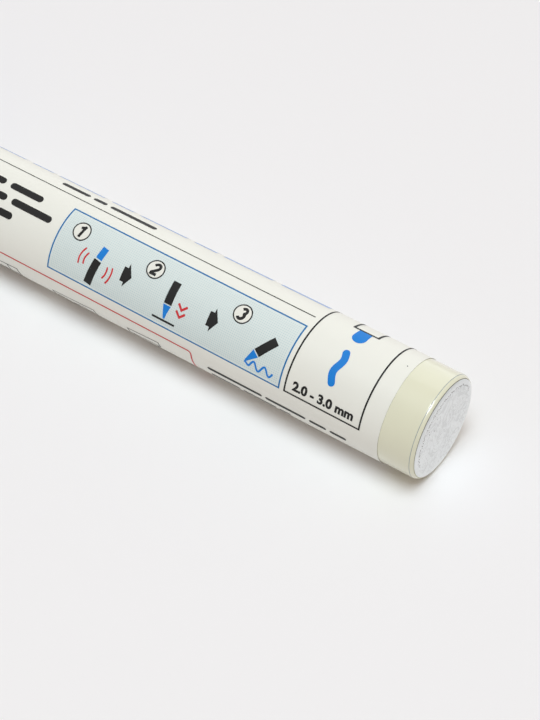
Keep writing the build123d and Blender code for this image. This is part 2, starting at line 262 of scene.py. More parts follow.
def even_finish(name, value, spots, band, bumps=None, **more):
    """A material with spots (size, spread), a roughness band (size, low, high) and bumps (size, height, strength)."""
    material, tree = start_material(name)
    if bumps:
        more["normal"] = grain(tree, *bumps)
    body, roughness = mottle(tree, value, *spots), roughness_band(tree, *band)
    return shade(material, tree, base_color=body, roughness=roughness, **more)


def cream_lacquer(colours):
    # Stoved lacquer on a drawn aluminium can: glossy, with a faint orange peel
    spots, band, bumps = (4.0, 0.02), (2.5, 0.28, 0.38), (0.7, 0.004, 0.6)
    gloss = {"coat_weight": 1.0, "coat_roughness": 0.08}
    return even_finish("stoved_cream_lacquer", colours.lacquer, spots, band, bumps, **gloss)


def tail_enamel(colours):
    # Thick white enamel sprayed on the can's base: matt and grainy, with pores and veins where it has rubbed thin.
    # The real grain is near 0.1 mm, and is drawn three times as coarse to show
    material, tree = start_material("sprayed_white_enamel")
    place = (add_node(tree, "ShaderNodeTexCoord"), "Object")
    pores = {"Vector": place, "Scale": 1 / (0.3 * MM), "Detail": 4.0, "Roughness": 0.7}
    clouds = {"Vector": place, "Scale": 1 / (2.6 * MM), "Detail": 3.0}
    cracks = {"Vector": place, "Scale": 1 / (2.4 * MM), "Detail": 5.0, "Distortion": 1.2}
    fine, cloud, drift = (add_node(tree, "ShaderNodeTexNoise", inputs) for inputs in (pores, clouds, cracks))
    speck = add_node(tree, "ShaderNodeMapRange", {"Value": fine, "From Min": 0.46, "From Max": 0.7})
    density = {"From Min": 0.3, "From Max": 0.65, "To Min": 0.15, "To Max": 1.0}
    patch = add_node(tree, "ShaderNodeMapRange", {"Value": cloud, **density})
    grit = add_node(tree, "ShaderNodeMath", {0: speck, 1: patch}, operation="MULTIPLY")
    crack = add_node(tree, "ShaderNodeMath", {0: drift, 1: 0.5, 2: 0.025}, operation="COMPARE")
    vein = add_node(tree, "ShaderNodeMath", {0: crack, 1: 0.45}, operation="MULTIPLY")
    worn = add_node(tree, "ShaderNodeMath", {0: grit, 1: vein}, operation="MAXIMUM")

    # The outer band has rubbed less. Its upper side near the rim is darkened with painted shade, as from the rim's
    # shadow
    across = add_node(tree, "ShaderNodeVectorMath", {0: place, 1: ACROSS_BARREL}, operation="MULTIPLY")
    reach = (add_node(tree, "ShaderNodeVectorMath", {0: across}, operation="LENGTH"), "Value")
    band = {"From Min": 5.9 * MM, "From Max": 6.35 * MM, "To Min": 1.0, "To Max": 0.35}
    rubbed = add_node(tree, "ShaderNodeMapRange", {"Value": reach, **band})
    loss = add_node(tree, "ShaderNodeMath", {0: worn, 1: rubbed}, operation="MULTIPLY")
    height = add_node(tree, "ShaderNodeVectorMath", {0: place, 1: SHADE_SIDE}, operation="DOT_PRODUCT")
    rise = {"Value": (height, "Value"), "From Min": 1.0 * MM, "From Max": 6.5 * MM}
    upper = add_node(tree, "ShaderNodeMapRange", rise)
    edge = add_node(tree, "ShaderNodeMapRange", {"Value": reach, "From Min": 6.1 * MM, "From Max": 6.9 * MM})
    rim_shade = add_node(tree, "ShaderNodeMath", {0: upper, 1: edge}, operation="MULTIPLY")
    wear_and_shade = add_node(tree, "ShaderNodeMath", {0: loss, 1: rim_shade}, operation="MAXIMUM")
    shades = {0: wear_and_shade, MIX_A: rgba(colours.enamel), MIX_B: tone(colours.enamel, 0.62)}
    body = (add_node(tree, "ShaderNodeMix", shades, data_type="RGBA"), MIXED)
    return shade(material, tree, base_color=body, roughness=0.62, normal=grain(tree, 0.35, 0.05, 0.8, 4.0))


def shaded_gap(colours):
    # Gap between the enamel and the lacquer: its upper part is darkened with painted shade, as from the rim's shadow
    # falling into the gap; the rest shows the lacquer's own edge
    material, tree = start_material("enamel_gap_painted_shade")
    place = add_node(tree, "ShaderNodeTexCoord")
    height = add_node(tree, "ShaderNodeVectorMath", {0: (place, "Object"), 1: SHADE_SIDE}, operation="DOT_PRODUCT")
    rise = {"Value": (height, "Value"), "From Min": 0.5 * MM, "From Max": 6.0 * MM}
    gap_shade = add_node(tree, "ShaderNodeMapRange", rise)
    shadow_tone = mottle(tree, colours.enamel_gap, 1.5, 0.2)
    shades = {0: gap_shade, MIX_A: tone(colours.lacquer, 0.85), MIX_B: shadow_tone}
    body = (add_node(tree, "ShaderNodeMix", shades, data_type="RGBA"), MIXED)
    return shade(material, tree, base_color=body, roughness=0.5)


def dull_edge(name, value):
    # Bare metal in a fine line of the coating, or the cut edge of the film, greyed as painted shade along the film's
    # step: dull, and broken along its run
    material, tree = start_material(name)
    return shade(material, tree, base_color=mottle(tree, value, 1.5, 0.2), roughness=0.5, metallic=0.2)


def label_film(colours):
    # White plastic film with a satin face: even, with a trace of unevenness from the can under it
    spots, band, bumps = (6.0, 0.012), (3.0, 0.36, 0.46), (1.6, 0.004, 0.4)
    gloss = {"coat_weight": 0.1, "coat_roughness": 0.25}
    return even_finish("satin_white_film", colours.film, spots, band, bumps, **gloss)


def printed_ink(name, value, spread=0.05):
    # Ink printed on the film: a thin satin layer, slightly uneven in tone
    detail = 4.0
    return even_finish(name, value, (0.5, spread, detail), (1.0, 0.4, 0.55), specular_ior_level=0.25)


def moulded_plastic(name, value, low, high, spread=0.03):
    # Moulded polypropylene: satin, with the faint texture of the tool and a soft colour drift
    return even_finish(name, value, (5.0, spread), (1.2, low, high), (0.25, 0.002, 0.5))


def pressed_fibre(colours):
    # Polyester fibres bonded into a rod: matt, with fine streaks along the nib
    material, tree = start_material("pressed_polyester_fibre")
    run = (0.08, 1, 1)
    place = add_node(tree, "ShaderNodeTexCoord")
    along = add_node(tree, "ShaderNodeMapping", {"Vector": (place, "Object"), "Scale": run})
    streak = add_node(tree, "ShaderNodeTexNoise", {"Vector": along, "Scale": 1 / (0.12 * MM), "Detail": 3.0})
    shades = {0: streak, MIX_A: tone(colours.fibre, 0.82), MIX_B: tone(colours.fibre, 1.08)}
    body = (add_node(tree, "ShaderNodeMix", shades, data_type="RGBA"), MIXED)
    return shade(material, tree, base_color=body, roughness=0.9, normal=grain(tree, 0.12, 0.02, 0.8, 3.0, run))


def soft_rubber(colours):
    # Nitrile rubber: dull black with a trace of bloom
    return even_finish("nitrile_rubber", colours.rubber, (0.8, 0.2), (0.6, 0.55, 0.75))


def bright_steel(name, value, low, high):
    # Bright steel: drawn wire or ground ball, with fine scratches
    return even_finish(name, value, (0.6, 0.06), (0.3, low, high), (0.1, 0.001, 0.5), metallic=1.0)


def studio_paper(colours):
    # Matt paper that fades into the backdrop's colour far from the marker, so that low views show no horizon
    material, tree = start_material("matt_studio_paper")
    tint = mottle(tree, colours.floor, 60.0, 0.004)
    matt = {"Base Color": tint, "Roughness": 0.95, "Specular IOR Level": 0.1}
    paper = add_node(tree, "ShaderNodeBsdfPrincipled", matt)
    far_paper = add_node(tree, "ShaderNodeEmission", {"Color": rgba(colours.backdrop)})
    place = add_node(tree, "ShaderNodeTexCoord")
    reach = add_node(tree, "ShaderNodeVectorMath", {0: (place, "Object")}, operation="LENGTH")
    limits = {"Value": (reach, "Value"), "From Min": FADE_START, "From Max": FADE_END}
    fade = add_node(tree, "ShaderNodeMapRange", limits, interpolation_type="SMOOTHSTEP")
    surface = add_node(tree, "ShaderNodeMixShader", {0: fade, 1: paper, 2: far_paper})
    add_node(tree, "ShaderNodeOutputMaterial", {"Surface": surface})
    return material


def new_piece(name, mesh, body, slot, *nodes):
    """Links a mesh as a piece that rides on a body and stands for the given nodes, which it hides. The slot is not
    used.
    """
    piece = bpy.data.objects.new(name, mesh)
    bpy.context.scene.collection.objects.link(piece)
    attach(piece, body)
    if nodes:
        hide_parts(*nodes)
    return piece


def dress(node, material):
    """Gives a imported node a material."""
    mesh = NODES[node].data
    mesh.materials.clear()
    mesh.materials.append(material)


def evaluated(holder):
    """A plain mesh of an object as its modifiers or its curve make it."""
    return bpy.data.meshes.new_from_object(holder.evaluated_get(bpy.context.evaluated_depsgraph_get()))


def turned(name, profile, steps, materials):
    """Turns (station, radius, finish of the stretch that follows) round the barrel's axis into a closed mesh."""
    grid = bmesh.new()
    turn = [2 * math.pi * i / steps for i in range(steps)]
    rings = []
    for station, radius, _ in profile:
        angles = turn if radius else [0.0]
        rings.append([grid.verts.new((-station, -radius * math.cos(a), radius * math.sin(a))) for a in angles])
    for here, there, (_, _, finish) in zip(rings, rings[1:] + rings[:1], profile):
        if finish is None:
            continue
        for i in range(steps):
            j = (i + 1) % steps
            corners = [here[i % len(here)], here[j % len(here)], there[j % len(there)], there[i % len(there)]]
            face = grid.faces.new(list(dict.fromkeys(corners)))
            face.material_index = finish
            face.smooth = True
    bmesh.ops.recalc_face_normals(grid, faces=grid.faces)
    mesh = bpy.data.meshes.new(name)
    grid.to_mesh(mesh)
    grid.free()
    for material in materials:
        mesh.materials.append(material)
    mesh.set_sharp_from_angle(angle=SHARP_ANGLE)
    return mesh


# Flat print shapes: lists of polygons


def bar(x0, y0, x1, y1):
    """A filled rectangle."""
    return [[(x0, y0), (x1, y0), (x1, y1), (x0, y1)]]


def arc(x, y, radius, start, end, steps=24):
    """Points along an arc between two angles in degrees."""
    turn = [math.radians(start + (end - start) * i / steps) for i in range(steps + 1)]
    return [(x + radius * math.cos(a), y + radius * math.sin(a)) for a in turn]


def circle(x, y, radius, steps):
    """Points round a circle."""
    return arc(x, y, radius, 0, 360, steps)[:-1]


def stroke(points, width, closed=False, round_ends=False):
    """A line of a given width along points, with mitred corners."""
    spots = [Vector(p) for p in points]
    count = len(spots)
    runs = [(spots[(i + 1) % count] - spots[i]).normalized() for i in range(count if closed else count - 1)]
    sides = []
    for i, spot in enumerate(spots):
        meeting = ([runs[i - 1]] if i or closed else []) + runs[i:i + 1]
        mean = sum(meeting, Vector((0, 0))).normalized()
        normal = Vector((-mean.y, mean.x))
        reach = width / 2 / max(MITRE_LIMIT, mean.dot(meeting[0]))
        sides.append((spot + normal * reach, spot - normal * reach))
    shapes = []
    for i in range(len(runs)):
        (a, b), (c, d) = sides[i], sides[(i + 1) % count]
        shapes.append([tuple(b), tuple(d), tuple(c), tuple(a)])
    if round_ends:
        for tip, run in ((spots[0], spots[0] - spots[1]), (spots[-1], spots[-1] - spots[-2])):
            heading = math.degrees(math.atan2(run.y, run.x))
            shapes.append(arc(*tip, width / 2, heading - 90, heading + 90, 12))
    return shapes


def outline(x0, y0, x1, y1, width):
    """The edge of a rectangle as a line of a given width."""
    return stroke(*bar(x0, y0, x1, y1), width, closed=True)


def bars(x, y, height, lengths):
    """A row of plain round-ended bars, each of a given length."""
    shapes = []
    for run in lengths:
        shapes += stroke([(x + height / 2, y), (x + run - height / 2, y)], height, round_ends=True)
        x += run + 0.9 * height
    return shapes


def moved(shapes, x, y, degrees=0.0):
    """The shapes turned about their own origin, then set at a place."""
    c, s = math.cos(math.radians(degrees)), math.sin(math.radians(degrees))
    return [[(x + c * u - s * v, y + s * u + c * v) for u, v in shape] for shape in shapes]


def figures(text, x, y, height, weight):
    """Plain figures as flat shapes, centred at x, y."""
    curve = bpy.data.curves.new("figures", "FONT")
    curve.body = text
    curve.offset = weight
    curve.align_x = curve.align_y = "CENTER"
    holder = bpy.data.objects.new("figures", curve)
    bpy.context.scene.collection.objects.link(holder)
    mesh = evaluated(holder)
    rises = [vert.co.y for vert in mesh.vertices]
    middle = (max(rises) + min(rises)) / 2
    scale = height / (max(rises) - min(rises))
    spots = [(x + vert.co.x * scale, y + (vert.co.y - middle) * scale) for vert in mesh.vertices]
    shapes = [[spots[i] for i in polygon.vertices] for polygon in mesh.polygons]
    bpy.data.objects.remove(holder)
    bpy.data.curves.remove(curve)
    bpy.data.meshes.remove(mesh)
    return shapes


def numeral(figure, x, y, height):
    """A bold slanted 1, 2 or 3 as flat shapes, centred at x, y."""
    strokes = {
        "1": [[(0.06, 0.5), (0.06, -0.5)], [(-0.25, 0.22), (0.06, 0.4)]],
        "2": [arc(0, 0.17, 0.25, 165, -35, 14) + [(-0.2, -0.38)], [(-0.27, -0.4), (0.33, -0.4)]],
        "3": [arc(-0.02, 0.2, 0.22, 150, -80, 12), arc(-0.02, -0.17, 0.25, 80, -150, 12)],
    }
    lean, weight = 0.22, 0.23
    shapes = []
    for points in strokes[figure]:
        shapes += stroke([(x + (u + lean * v) * height, y + v * height) for u, v in points], weight * height)
    return shapes


def little_marker(capped):
    """A small marker that points to +x with its tip at the origin: black barrel shapes, blue tip shapes."""
    if capped:
        return bar(-5.6, -0.6, -1.95, 0.6), bar(-1.75, -0.5, 0.0, 0.5)
    nose = [
        [(-1.9, -0.6), (-0.75, -0.3), (-0.75, 0.3), (-1.9, 0.6)],
        [(-0.75, -0.3), (0.0, -0.14), (0.0, 0.14), (-0.75, 0.3)],
    ]
    return bar(-5.2, -0.6, -2.05, 0.6), nose


def line_figures(width):
    """Four plain outlines: a tumbler, a wall, a board and a flower pot. Each is centred on its origin."""
    tumbler = stroke([(-2.1, 3.0), (-1.5, -3.0), (1.5, -3.0), (2.1, 3.0)], width, closed=True)
    tumbler += stroke([(-1.95, 1.4), (1.95, 1.4)], width)
    wall = outline(-3.0, -2.4, 3.0, 2.4, width)
    for y in (-0.8, 0.8):
        wall += stroke([(-3.0, y), (3.0, y)], width)
    for x, y in ((-1.0, -2.4), (1.2, -2.4), (-2.0, -0.8), (0.1, -0.8), (2.0, -0.8), (-1.0, 0.8), (1.2, 0.8)):
        wall += stroke([(x, y), (x, y + 1.6)], width)
    board = outline(-3.6, -1.9, 3.6, 1.9, width)
    for y in (-1.0, -0.1, 0.8):
        board += stroke([(-3.0 + 0.3 * i, y + 0.25 * math.sin(0.5 * i + y)) for i in range(21)], width)
    pot = stroke([(-2.1, 1.2), (-1.4, -3.0), (1.4, -3.0), (2.1, 1.2)], width, closed=True)
    pot += outline(-2.6, 1.2, 2.6, 2.4, width)
    return tumbler, wall, board, pot


def print_shapes(sizes):
    """The label's plain print, by ink."""
    line = sizes.box_line / MM
    black, blue, slate, red, white, pale = [], [], [], [], [], []

    # Tinted panel with three numbered steps
    slate += outline(*PANEL, sizes.frame_line / MM)
    row = 8.15
    for figure, x in (("1", -54.75), ("2", -42.39), ("3", -28.42)):
        white += [circle(x, row, 1.25, 40)]
        black += stroke(circle(x, row, 1.26, 48), 0.18, closed=True)
        black += numeral(figure, x, row, 1.75)
    for x in (-45.9, -31.9):
        black += bar(x - 0.6, 4.65, x, 6.65) + [[(x, 4.0), (x + 0.98, 5.65), (x, 7.3)]]

    # A capped marker that is shaken, one that is pressed on a line, and one that draws a wave
    shaken, pressed, drawing = (-50.2, 7.6, 80), (-38.6, 2.75, -90), (-25.6, 2.9, -128)
    barrel, tip = little_marker(True)
    black += moved(barrel, *shaken)
    blue += moved(tip, *shaken)
    for side in (0, 180):
        for reach in (1.9, 2.7):
            swing = stroke(arc(0, 0, reach, -24, 24, 10), 0.24, round_ends=True)
            red += moved(swing, -50.65, 4.9, side - 10)
    barrel, tip = little_marker(False)
    black += moved(barrel, *pressed) + bar(-40.4, 2.3, -36.8, 2.6)
    blue += moved(tip, *pressed)
    for y in (3.9, 4.9):
        red += moved(stroke([(-0.7, 0.7), (0, 0), (0.7, 0.7)], 0.32), -36.4, y)
    black += moved(barrel, *drawing)
    blue += moved(tip, *drawing)
    wave = [(-25.6 + 0.05 * i, 2.75 - 0.5 * math.sin(i * 0.1875) * min(1, i / 16)) for i in range(85)]
    blue += stroke(wave, 0.28, round_ends=True)

    # Black box with a line sample, a nib in its holder and a line width
    black += outline(*BOX, line)
    left, low, right, _ = BOX
    middle = (left + right) / 2
    bends = [-0.6 + 6.88 * i / 24 for i in range(25)]
    sample = [(middle + 0.085 - 0.26 * math.sin(bend), 5.92 + 0.61 * bend) for bend in bends]
    blue += stroke(sample, 1.0, round_ends=True)
    blue += [arc(middle + 0.1, 12.8, 1.0, 180, 360) + [(middle + 1.05, 14.4), (middle - 0.8, 14.4)]]
    holder = ((-1.7, 18.3), (-1.7, 14.5), (1.9, 14.5), (1.9, 18.3))
    black += stroke([(middle + x, y) for x, y in holder], 1.4 * line)
    black += figures("2.0 - 3.0 mm", middle, low + 1.35, 1.4, 0.045)

    # Rule, red frame with line figures, rows of plain bars
    black += bar(-85.9, 12.5, -20.15, 12.5 + line * 0.7)
    corner = arc(-34.4, -0.8, 0.5, 90, 0, 8)
    red += stroke([(-85.4, -0.3), *corner, (-33.9, -9.5), (-85.4, -9.5)], sizes.red_line / MM, closed=True)
    for figure, x in zip(line_figures(0.16), (-78.0, -66.5, -54.0, -42.0)):
        black += moved(figure, x, -4.9, 4)
    for x, y, height, lengths in (
        (-73.2, 9.5, 1.0, (4.2, 5.6)),
        (-73.2, 7.5, 1.0, (3.1, 1.8, 6.9)),
        (-73.2, 5.5, 1.0, (4.4, 2.6)),
        (-62.9, 14.3, 0.75, (4.8, 2.2, 7.7)),
        (-31.4, -1.9, 0.6, (8.6, 6.2, 2.6, 2.5)),
        (-31.2, -3.6, 0.5, (4.6, 5.2, 1.8)),
    ):
        black += bars(x, y, height, lengths)

    # Two rows of pale dashes over the top, a short one and a long one by turns
    dashes = [(start + a, start + b) for start in range(-84, -28, 14) for a, b in ((0, 3.6), (4.8, 12.6))]
    for left, right in dashes + [(-28.0, -20.4)]:
        pale += bar(left, 16.45, right, 18.1) + bar(left, 18.8, right, 19.5)

    # One stray speck of ink by the label's edge
    black += [circle(-6.09, 12.15, 0.085, 10)]
    return {"black": black, "blue": blue, "slate": slate, "red": red, "white": white, "pale": pale}


def joined(shapes):
    """One set of corners and triangles that covers all the shapes, with no face over another."""
    points, loops = [], []
    for shape in shapes:
        area = sum(a[0] * b[1] - b[0] * a[1] for a, b in zip(shape, shape[1:] + shape[:1]))
        loops.append(list(range(len(points), len(points) + len(shape))))
        points += [Vector(p) for p in (shape if area > 0 else shape[::-1])]
    spots, _, faces, _, _, from_shapes = delaunay_2d_cdt(points, [], loops, 1, 1e-5)
    return spots, [face for face, sources in zip(faces, from_shapes) if sources]


def wrapped(name, shapes, lift, material, skew):
    """Lays flat shapes on the label: cut at every step round the barrel, then bent onto it."""
    flat = bmesh.new()
    spots, faces = joined(shapes)
    corners = [flat.verts.new((spot.x, spot.y, 0)) for spot in spots]
    for face in faces:
        flat.faces.new([corners[i] for i in face])
    bmesh.ops.delete(flat, geom=[v for v in flat.verts if not v.link_faces], context="VERTS")
    rises = [v.co.y for v in flat.verts]
    for i in range(math.ceil(min(rises) / CUT_STEP), math.floor(max(rises) / CUT_STEP) + 1):
        everything = flat.verts[:] + flat.edges[:] + flat.faces[:]
        bmesh.ops.bisect_plane(flat, geom=everything, plane_co=(0, i * CUT_STEP, 0), plane_no=(0, 1, 0))
    flat.normal_update()
    bmesh.ops.reverse_faces(flat, faces=[f for f in flat.faces if f.normal.z < 0])
    radius = LABEL_RADIUS + lift
    for vert in flat.verts:
        turn = (vert.co.y + skew * (SKEW_CENTRE - vert.co.x)) * MM / LABEL_RADIUS
        vert.co = (vert.co.x * MM, -radius * math.cos(turn), radius * math.sin(turn))
    for face in flat.faces:
        face.smooth = True
    mesh = bpy.data.meshes.new(name)
    flat.to_mesh(mesh)
    flat.free()
    mesh.materials.append(material)
    return mesh


def node_tree(name, floats, integers=()):
    """A geometry tree with these named inputs and a material, returned with its input node."""
    tree = bpy.data.node_groups.new(name, "GeometryNodeTree")
    kinds = {"NodeSocketFloat": floats, "NodeSocketInt": integers, "NodeSocketMaterial": ["Material"]}
    for kind, labels in kinds.items():
        for label in labels:
            tree.interface.new_socket(name=label, in_out="INPUT", socket_type=kind)
    tree.interface.new_socket(name="Geometry", in_out="OUTPUT", socket_type="NodeSocketGeometry")
    return tree, add_node(tree, "NodeGroupInput")


def end_tree(tree, given, geometry):
    """Ends a geometry tree: its instances become real faces, and they take the given material."""
    real = add_node(tree, "GeometryNodeRealizeInstances", {"Geometry": geometry})
    finished = add_node(tree, "GeometryNodeSetMaterial", {"Geometry": real, "Material": (given, "Material")})
    add_node(tree, "NodeGroupOutput", {"Geometry": finished})
    return tree


def grown(name, tree, values):
    """Runs a geometry tree with its inputs set by name, and returns the plain mesh."""
    holder = bpy.data.objects.new(name, bpy.data.meshes.new(name))
    bpy.context.scene.collection.objects.link(holder)
    modifier = holder.modifiers.new(name, "NODES")
    modifier.node_group = tree
    for item in tree.interface.items_tree:
        if item.in_out == "INPUT" and item.name in values:
            modifier[item.identifier] = values[item.name]
    mesh = evaluated(holder)
    holder.modifiers.remove(modifier)
    bpy.data.objects.remove(holder)
    mesh.name = name
    return mesh


def screen_tree():
    """Rows of printed dots, bent onto the barrel, that grow towards the panel's lower edge."""
    sizes = ["Width", "Height", "Dot Radius", "Middle X", "Middle Y", "Barrel Radius"]
    factors = ["Skew", "Skew Centre", "Low Scale", "High Scale"]
    tree, given = node_tree("Dot Screen", sizes + factors, ["Columns", "Rows"])
    radius = (given, "Barrel Radius")
    sides = {"Size X": "Width", "Size Y": "Height", "Vertices X": "Columns", "Vertices Y": "Rows"}
    grid = add_node(tree, "GeometryNodeMeshGrid", {socket: (given, name) for socket, name in sides.items()})
    spot = add_node(tree, "ShaderNodeSeparateXYZ", {0: add_node(tree, "GeometryNodeInputPosition")})
    along = add_node(tree, "ShaderNodeMath", {0: (spot, "X"), 1: (given, "Middle X")}, operation="ADD")
    across = add_node(tree, "ShaderNodeMath", {0: (spot, "Y"), 1: (given, "Middle Y")}, operation="ADD")
    ahead = add_node(tree, "ShaderNodeMath", {0: (given, "Skew Centre"), 1: along}, operation="SUBTRACT")
    lean = {0: ahead, 1: (given, "Skew"), 2: across}
    leant = add_node(tree, "ShaderNodeMath", lean, operation="MULTIPLY_ADD")
    turn = add_node(tree, "ShaderNodeMath", {0: leant, 1: radius}, operation="DIVIDE")
    near = add_node(tree, "ShaderNodeMath", {0: turn}, operation="COSINE")
    side = add_node(tree, "ShaderNodeMath", {0: 0.0, 1: near}, operation="SUBTRACT")
    up = add_node(tree, "ShaderNodeMath", {0: turn}, operation="SINE")
    round_barrel = add_node(tree, "ShaderNodeCombineXYZ", {"Y": side, "Z": up})
    reach = add_node(tree, "ShaderNodeCombineXYZ", {"X": 1.0, "Y": radius, "Z": radius})
    start = add_node(tree, "ShaderNodeCombineXYZ", {"X": along})
    bend = {0: round_barrel, 1: reach, 2: start}
    bent = add_node(tree, "ShaderNodeVectorMath", bend, operation="MULTIPLY_ADD")
    rows = add_node(tree, "GeometryNodeSetPosition", {"Geometry": grid, "Position": bent})
    place = add_node(tree, "GeometryNodeInputPosition")
    outward = add_node(tree, "ShaderNodeVectorMath", {0: place, 1: ACROSS_BARREL}, operation="MULTIPLY")
    tangent = add_node(tree, "FunctionNodeAlignRotationToVector", {"Vector": outward}, axis="Z")
    hexagon = {"Vertices": 6, "Radius": (given, "Dot Radius")}
    dot = add_node(tree, "GeometryNodeMeshCircle", hexagon, fill_type="NGON")
    height = add_node(tree, "ShaderNodeSeparateXYZ", {0: place})
    scales = {"From Max": radius, "To Min": (given, "Low Scale"), "To Max": (given, "High Scale")}
    grow = add_node(tree, "ShaderNodeMapRange", {"Value": (height, "Z"), **scales})
    set_out = {"Points": rows, "Instance": dot, "Rotation": tangent, "Scale": grow}
    return end_tree(tree, given, add_node(tree, "GeometryNodeInstanceOnPoints", set_out))


def scuff_tree():
    """A broken ring of rubbed marks on the tail face, with a few more inside it."""
    sizes = ["Ring Radius", "Mark Radius", "Stray Density", "Lift"]
    tree, given = node_tree("Tail Scuffs", sizes, ["Count", "Seed"])
    radius, seed = (given, "Ring Radius"), (given, "Seed")
    loop = add_node(tree, "GeometryNodeMeshCircle", {"Vertices": (given, "Count"), "Radius": radius})
    # A Random Value node takes vectors at sockets 0 and 1 and numbers at 2 and 3. It gives a vector at 0, a number
    # at 1 and a choice at 3
    least = (SCUFF_DOWN - SCUFF_SHAKE, SCUFF_SIDE - SCUFF_SHAKE, 0.0)
    most = (SCUFF_DOWN + SCUFF_SHAKE, SCUFF_SIDE + SCUFF_SHAKE, 0.0)
    shift = {0: least, 1: most, "Seed": seed}
    shake = add_node(tree, "FunctionNodeRandomValue", shift, data_type="FLOAT_VECTOR")
    loose = add_node(tree, "GeometryNodeSetPosition", {"Geometry": loop, "Offset": shake})
    face = add_node(tree, "GeometryNodeMeshCircle", {"Vertices": 64, "Radius": radius}, fill_type="NGON")
    spread = {"Mesh": face, "Density": (given, "Stray Density"), "Seed": seed}
    strays = add_node(tree, "GeometryNodeDistributePointsOnFaces", spread)
    ring_points = add_node(tree, "GeometryNodeMeshToPoints", {"Mesh": loose})
    spots = add_node(tree, "GeometryNodeJoinGeometry")
    for points in (ring_points, strays):
        tree.links.new(points.outputs["Points"], spots.inputs[0])
    lift = add_node(tree, "ShaderNodeCombineXYZ", {"X": (given, "Lift")})
    laid = {"Geometry": spots, "Translation": lift, "Rotation": ALONG_BARREL}
    upright = add_node(tree, "GeometryNodeTransform", laid)
    # Marks are more frequent and larger on the scuffed side, and there are none on the other
    spot = add_node(tree, "GeometryNodeInputPosition")
    reach = add_node(tree, "ShaderNodeVectorMath", {0: spot, 1: SCUFFED_SIDE}, operation="DOT_PRODUCT")
    share = add_node(tree, "ShaderNodeMath", {0: (reach, "Value"), 1: radius}, operation="DIVIDE")
    limits = {"From Min": -0.8, "From Max": 0.25, "To Min": 0.0, "To Max": 0.72}
    rubbed = add_node(tree, "ShaderNodeMapRange", {"Value": share, **limits})
    kept = add_node(tree, "FunctionNodeRandomValue", {"Probability": rubbed, "Seed": seed}, data_type="BOOLEAN")
    largest = add_node(tree, "ShaderNodeMath", {0: rubbed, 1: 1.9}, operation="MULTIPLY")
    size = add_node(tree, "FunctionNodeRandomValue", {2: 0.35, 3: largest, "Seed": seed}, data_type="FLOAT")
    blot = {"Vertices": 7, "Radius": (given, "Mark Radius")}
    mark = add_node(tree, "GeometryNodeMeshCircle", blot, fill_type="NGON")
    set_out = {"Points": upright, "Selection": (kept, 3), "Rotation": ALONG_BARREL, "Scale": (size, 1)}
    marks = add_node(tree, "GeometryNodeInstanceOnPoints", {**set_out, "Instance": mark})
    return end_tree(tree, given, marks)


def spring_tree():
    """A coil spring along the barrel, with its end coils wound closer."""
    tree, given = node_tree("Coil Spring", ["Coil Radius", "Wire Radius", "Turns", "Rise", "Start"])
    radius = (given, "Coil Radius")
    winding = {"Resolution": 36, "Rotations": (given, "Turns"), "Height": 0.0}
    coil = add_node(tree, "GeometryNodeCurveSpiral", {**winding, "Start Radius": radius, "End Radius": radius})
    share = add_node(tree, "GeometryNodeSplineParameter")
    eased = add_node(tree, "ShaderNodeMapRange", {"Value": share}, interpolation_type="SMOOTHSTEP")
    even = add_node(tree, "ShaderNodeMath", {0: share, 1: 0.25}, operation="MULTIPLY")
    climb = add_node(tree, "ShaderNodeMath", {0: eased, 1: 0.75, 2: even}, operation="MULTIPLY_ADD")
    height = add_node(tree, "ShaderNodeMath", {0: climb, 1: (given, "Rise")}, operation="MULTIPLY")
    lift = add_node(tree, "ShaderNodeCombineXYZ", {"Z": height})
    wound = add_node(tree, "GeometryNodeSetPosition", {"Geometry": coil, "Offset": lift})
    wire = add_node(tree, "GeometryNodeCurvePrimitiveCircle", {"Resolution": 12, "Radius": (given, "Wire Radius")})
    swept = {"Curve": wound, "Profile Curve": wire, "Fill Caps": True}
    solid = add_node(tree, "GeometryNodeCurveToMesh", swept)
    start = add_node(tree, "ShaderNodeCombineXYZ", {"X": (given, "Start")})
    laid = {"Geometry": solid, "Translation": start, "Rotation": ALONG_BARREL}
    return end_tree(tree, given, add_node(tree, "GeometryNodeTransform", laid))


def studio_world(colours):
    """A warm fill for matt surfaces, and the plain backdrop for the camera and for reflections."""
    world = bpy.data.worlds.new("studio_world")
    world.use_nodes = True
    tree = world.node_tree
    tree.nodes.clear()
    path = add_node(tree, "ShaderNodeLightPath")
    rays = {0: (path, "Is Camera Ray"), 1: (path, "Is Transmission Ray")}
    direct = add_node(tree, "ShaderNodeMath", rays, operation="MAXIMUM")
    seen = add_node(tree, "ShaderNodeMath", {0: direct, 1: (path, "Is Glossy Ray")}, operation="MAXIMUM")
    fill = add_node(tree, "ShaderNodeBackground", {"Color": (1.0, 0.79, 0.71, 1.0), "Strength": 0.41})
    shown = add_node(tree, "ShaderNodeBackground", {"Color": rgba(colours.backdrop), "Strength": 1.0})
    mixed = add_node(tree, "ShaderNodeMixShader", {0: seen, 1: fill, 2: shown})
    add_node(tree, "ShaderNodeOutputWorld", {"Surface": mixed})
    return world


def add_lamp(name, place, size, power, tint, skipped, on_matt, on_gloss):
    """Adds an area lamp aimed at the marker that may skip a collection, and lights matt shading, gloss or both."""
    light = bpy.data.lights.new(name, "AREA")
    light.shape = "RECTANGLE"
    light.size, light.size_y = size
    light.energy = power
    light.color = tint
    lamp = bpy.data.objects.new(name, light)
    bpy.context.scene.collection.objects.link(lamp)
    lamp.light_linking.receiver_collection = skipped
    lamp.visible_diffuse = on_matt
    lamp.visible_glossy = on_gloss
    lamp.location = place
    lamp.rotation_euler = (LAMP_AIM - Vector(place)).to_track_quat("-Z", "Y").to_euler()


